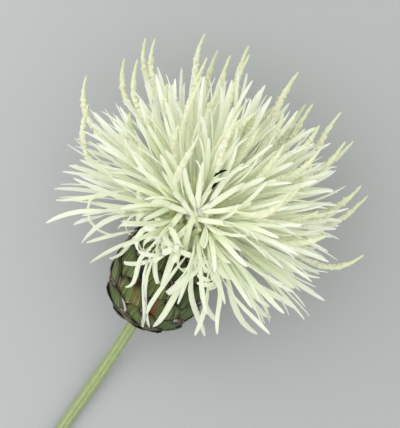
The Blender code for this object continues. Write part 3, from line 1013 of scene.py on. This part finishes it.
column_profile = [
    (np.interp(i / COLUMN_STATIONS, COLUMN_MARKS, COLUMN_RADII), i / COLUMN_STATIONS)
    for i in range(COLUMN_STATIONS + 1)
]
column = turned("column", column_profile, COLUMN_SIDES)
column_draw = random.Random(8)
inner_rods, outer_rods = [], []
tip_of = {}
for tip in COLUMN_TIPS:
    way = Vector(tip).normalized() - HEAD_AXIS * TIP_LEAN
    free = [number for number in range(FLORETS) if number not in tip_of]
    tip_of[min(free, key=lambda number: throats[number][1].angle(way))] = Vector(tip) * MM
for number, (throat, heading, is_inner) in enumerate(throats):
    root = SPREAD_POINT + heading * COLUMN_ROOT
    if number in tip_of:
        tip = tip_of[number]
        arriving = tip.normalized() + HEAD_AXIS * column_draw.uniform(*TIP_ARRIVES)
        arriving.normalize()
        line = arched(root, heading, SPREAD_POINT + tip, arriving, COLUMN_PULL)
    elif heading.angle(HEAD_AXIS) < COLUMN_LIMIT and heading.angle(UP) > COLUMN_FACING:
        inward = (HEAD_AXIS - heading * HEAD_AXIS.dot(heading)).normalized()
        length = COLUMN_LENGTH * column_draw.uniform(*COLUMN_LENGTH_SHARE)
        curl = COLUMN_CURL * column_draw.uniform(*COLUMN_CURL_SHARE)
        line = grown(root, heading, inward, length, curl, column_draw.gauss(0, COLUMN_DRIFT))
    else:
        continue
    points = upright(column)
    clumps = points * (CLUMPS_ACROSS, CLUMPS_ACROSS, CLUMPS_ALONG) + (0, 0, 9 * number)
    rough = np.array([noise.noise(Vector(clump)) for clump in clumps])
    rough *= np.interp(points[:, 2], POLLEN_MARKS, POLLEN_COVER)
    across, thick = (points[:, :2] * MM * (1 + rough * POLLEN / COLUMN_RADIUS)[:, None]).T
    rod = laid_along(column, line, across, thick, column_draw.random())
    (inner_rods if is_inner else outer_rods).append(rod)
bpy.data.objects.remove(column)

pollen_cream, nodes, links, shader = new_finish("pollen_cream", 0.75, subsurface_weight=0.2)
shader.inputs["Subsurface Radius"].default_value = (1.0, 0.9, 0.5)
shader.inputs["Subsurface Scale"].default_value = 0.8 * MM
place = nodes.new("ShaderNodeTexCoord").outputs["Object"]
cream = ramp(
    nodes,
    links,
    read_points(nodes, "along"),
    (0.0, (0.92, 0.95, 0.74)),
    (0.4, (0.88, 0.89, 0.72)),
    (0.6, (0.84, 0.85, 0.64)),
    (0.85, (0.79, 0.82, 0.59)),
    (1.0, (0.70, 0.75, 0.52)),
)
grains = grain(nodes, links, place, 3500.0, 2.0)
dust = ramp(nodes, links, grains, (0.35, (0.92, 0.89, 0.82)), (0.6, (1.0,) * 3))
links.new(mixed(nodes, links, "MULTIPLY", 1.0, cream, dust), shader.inputs["Base Color"])
bumped(nodes, links, shader, grains, 0.6, 0.1 * MM)
join_as("inner_columns", inner_rods, pollen_cream, "inner_florets")
join_as("outer_columns", outer_rods, pollen_cream, "outer_florets")


# The buds. At the very middle, between the tubes of the open florets, stand short ones that have
# not opened: closed, pointed and yellower, they fill the head where everything spreads apart.

BUDS = 96
BUD_SPREAD = math.radians(100)
BUD_RING = 4.8 * MM
BUD_TURN = 0.37
BUD_REACH = (5.5 * MM, 10.5 * MM)
BUD_PULL = 4.5 * MM
BUD_RADIUS = 0.7 * MM
BUD_WIDTH_SHARE = (0.8, 1.1)
BUD_SIDES = 8
BUD_OUTLINE = ((0.6, 0.0), (0.8, 0.35), (1.0, 0.6), (0.85, 0.8), (0.5, 0.94), (0.12, 1.0))

bud = turned("bud", BUD_OUTLINE, BUD_SIDES)
bud_draw = random.Random(4)
buds = []
for i in range(BUDS):
    polar = math.acos(1 - (i + 0.5) / BUDS * (1 - math.cos(BUD_SPREAD)))
    azimuth = (i + BUD_TURN) * GOLDEN_ANGLE
    heading = direction(polar, azimuth)
    radius = BUD_RING * math.sin(min(polar, math.pi / 2))
    root = round_axis(radius, azimuth, MOUTH_HEIGHT)
    top = SPREAD_POINT + heading * bud_draw.uniform(*BUD_REACH)
    line = arched(root, HEAD_AXIS, top, heading, BUD_PULL)
    points = upright(bud) * BUD_RADIUS * bud_draw.uniform(*BUD_WIDTH_SHARE)
    buds.append(laid_along(bud, line, points[:, 0], points[:, 1], bud_draw.random()))
bpy.data.objects.remove(bud)
bud_yellow = petal_finish(
    "bud_yellow", (0.97, 0.98, 0.66), (0.95, 0.97, 0.70), (0.92, 0.96, 0.74), (0.95, 0.97, 0.90)
)
join_as("buds", buds, bud_yellow, "inner_florets")


# The two painted shadows. Two small near-black slivers lie between the lobes a little way out from
# the middle, one above the other, and stand for a dark gap of shadow there.

# Radius in mm, and the places in mm that each lies through.
SHADOW_SLIVERS = (
    (0.27, ((33.0, 1.9, 37.3), (34.2, 1.5, 37.9), (35.3, 0.4, 37.5))),
    (0.30, ((30.9, 1.1, 37.9), (32.2, 0.9, 38.8), (33.4, 0.5, 39.1))),
)
SHADOW_SLIVER_OUTLINE = ((0.25, 0.0), (0.7, 0.15), (1.0, 0.35), (1.0, 0.6), (0.65, 0.85), (0.15, 1.0))
SHADOW_SLIVER_SIDES = 8
SHADOW_SLIVER_GLOSS = 0.15
EVEN_TONE = 0.5

shadow_sliver = turned("shadow_sliver", SHADOW_SLIVER_OUTLINE, SHADOW_SLIVER_SIDES)
# Painted shadow: the slivers' finish is almost black.
painted_shadow_black = mottled(
    "painted_shadow_black", 0.8, SHADOW_SLIVER_GLOSS, 900.0, (0.3, (0.002, 0.002, 0.001)), (0.7, (0.010, 0.008, 0.004))
)
shadow_sliver_parts = []
for radius, places in SHADOW_SLIVERS:
    line = drawn_through(places, 0.0)
    points = upright(shadow_sliver) * radius * MM
    shadow_sliver_parts.append(laid_along(shadow_sliver, line, points[:, 0], points[:, 1], EVEN_TONE))
bpy.data.objects.remove(shadow_sliver)
join_as("painted_shadow_slivers", shadow_sliver_parts, painted_shadow_black, "inner_florets")


# The bristles. Stiff pale hairs stand on the receptacle between the tubes and show as a grey
# fringe at the mouth of the cup. Under them is the crowd of tube bases, as one low cushion.

BRISTLES = 220
BRISTLE_OUTLINE = ((1.0, 0.0), (0.9, 0.4), (0.6, 0.8), (0.1, 1.0))
BRISTLE_SIDES = 4
BRISTLE_RADIUS = 0.09 * MM
BRISTLE_REACH = (5.5 * MM, 8.5 * MM)
BRISTLE_PULL = 2.5 * MM
BRISTLE_LEAN = math.radians(75)
BRISTLE_LEAN_SHARE = (0.5, 1.1)
BRISTLE_LAG = 0.6
BRISTLE_SCATTER = 0.1
BRISTLE_RING = 5.7 * MM
BRISTLES_STAND_AT = 17.5 * MM
BARE_MIDDLE = 0.35
PLAIN_GLOSS = 0.5

# Radius and height of the cushion's outline in mm, from its foot up.
CUSHION = ((5.7, 6.0), (5.8, 16.0), (5.6, 18.2), (4.6, 20.4), (3.0, 22.0), (1.0, 22.8))
CUSHION_SIDES = 40

bristle = turned("bristle", BRISTLE_OUTLINE, BRISTLE_SIDES)
bristle_draw = random.Random(14)
hairs = []
for i in range(BRISTLES):
    share = BARE_MIDDLE + (1 - BARE_MIDDLE) * (i + 0.5) / BRISTLES
    radius = BRISTLE_RING * math.sqrt(share)
    azimuth = i * GOLDEN_ANGLE + bristle_draw.uniform(-BRISTLE_SCATTER, BRISTLE_SCATTER)
    root = round_axis(radius, azimuth, BRISTLES_STAND_AT)
    lean = BRISTLE_LEAN * share**3 * bristle_draw.uniform(*BRISTLE_LEAN_SHARE)
    end = root + direction(lean * BRISTLE_LAG, azimuth) * bristle_draw.uniform(*BRISTLE_REACH)
    line = arched(root, HEAD_AXIS, end, direction(lean, azimuth), BRISTLE_PULL)
    points = upright(bristle) * BRISTLE_RADIUS
    hairs.append(laid_along(bristle, line, points[:, 0], points[:, 1], EVEN_TONE))
bpy.data.objects.remove(bristle)
bristle_grey = mottled(
    "bristle_grey", 0.5, PLAIN_GLOSS, 500.0, (0.3, (0.42, 0.42, 0.34)), (0.7, (0.68, 0.68, 0.60))
)
join_as("bristles", hairs, bristle_grey, "outer_florets")

cushion = turned("tube_bases", [(r * MM, z * MM) for r, z in CUSHION], CUSHION_SIDES)
set_on_head(cushion)
base_green = mottled(
    "base_green", 0.7, PLAIN_GLOSS, 1200.0, (0.35, (0.60, 0.63, 0.34)), (0.65, (0.80, 0.83, 0.52))
)
cushion.data.materials.append(base_green)
rounded(cushion)
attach(cushion, "root")
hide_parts("inner_florets")


# The table and the light. A plain pale grey surface far wider than the flower, with painted shade
# that darkens it towards the picture's right, one large soft light high on the left, and an even sky
# that fills the shadows.

TABLE_SIZE = 3.0
TABLE_GAP = 0.02 * MM
AXIS_IN_PICTURE = math.radians(30.8)
PAINTED_SHADE_STARTS = -150 * MM
PAINTED_SHADE_ENDS = 200 * MM
LAMP_PLACE = Vector((0.02, 0.26, 0.42))
LAMP_AIM = Vector((0.02, 0, 0.02))
LAMP_SIZE = 0.5
LAMP_POWER = 0.6
SKY_STRENGTH = 1.11

picture_turn = AXIS_IN_PICTURE - math.pi / 2
picture_right = Vector((math.cos(picture_turn), math.sin(picture_turn), 0))
picture_up = UP.cross(picture_right)

bpy.ops.object.select_all(action="DESELECT")
bpy.ops.mesh.primitive_plane_add(size=TABLE_SIZE, location=(0, 0, -TABLE_GAP))
table = bpy.context.object
table.name = "table"
table_grey, nodes, links, shader = new_finish("table_grey", 0.9)
place = nodes.new("ShaderNodeTexCoord").outputs["Object"]
# Painted shade: the table's grey darkens towards the picture's right, between where the shade starts
# and where it ends.
to_right = nodes.new("ShaderNodeVectorMath")
to_right.operation = "DOT_PRODUCT"
to_right.inputs[1].default_value = picture_right
links.new(place, to_right.inputs[0])
painted_shade_fade = nodes.new("ShaderNodeMapRange")
painted_shade_fade.interpolation_type = "SMOOTHSTEP"
painted_shade_fade.inputs["From Min"].default_value = PAINTED_SHADE_STARTS
painted_shade_fade.inputs["From Max"].default_value = PAINTED_SHADE_ENDS
links.new(to_right.outputs["Value"], painted_shade_fade.inputs["Value"])
table_greys_with_painted_shade = ramp(
    nodes,
    links,
    painted_shade_fade.outputs["Result"],
    (0.0, (0.456, 0.470, 0.472)),
    (1.0, (0.352, 0.370, 0.366)),
)
links.new(table_greys_with_painted_shade, shader.inputs["Base Color"])
table.data.materials.append(table_grey)

lamp = bpy.data.lights.new("soft_lamp", "AREA")
lamp.shape = "DISK"
lamp.size = LAMP_SIZE
lamp.energy = LAMP_POWER
lamp_object = bpy.data.objects.new("soft_lamp", lamp)
bpy.context.collection.objects.link(lamp_object)
lamp_object.location = LAMP_PLACE
lamp_object.rotation_euler = (LAMP_AIM - LAMP_PLACE).to_track_quat("-Z", "Y").to_euler()

sky = bpy.data.worlds.new("even_sky")
sky.use_nodes = True
background = sky.node_tree.nodes["Background"]
background.inputs["Color"].default_value = (1.0, 1.0, 1.0, 1.0)
background.inputs["Strength"].default_value = SKY_STRENGTH
bpy.context.scene.world = sky
bpy.context.scene.view_settings.view_transform = "Standard"


# The camera. It looks straight down on the lying flower through a long lens, turned so that the
# head's axis runs up and to the right of the picture.

PICTURE_WIDTH = 75.5 * MM
RIGHT_OF_SPREAD = 0.57 * MM
ABOVE_SPREAD = 0.38 * MM
SENSOR_WIDTH = 36.0
LENS = 200.0
SEES_AS_FAR_AS = 10.0

camera = bpy.data.cameras.new("camera")
camera.sensor_fit = "HORIZONTAL"
camera.sensor_width = SENSOR_WIDTH
camera.lens = LENS
camera.clip_end = SEES_AS_FAR_AS
camera_object = bpy.data.objects.new("camera", camera)
bpy.context.collection.objects.link(camera_object)
aim = SPREAD_POINT + picture_right * RIGHT_OF_SPREAD + picture_up * ABOVE_SPREAD
camera_object.location = aim + UP * PICTURE_WIDTH * LENS / SENSOR_WIDTH
camera_object.rotation_euler = (0, 0, picture_turn)
bpy.context.scene.camera = camera_object
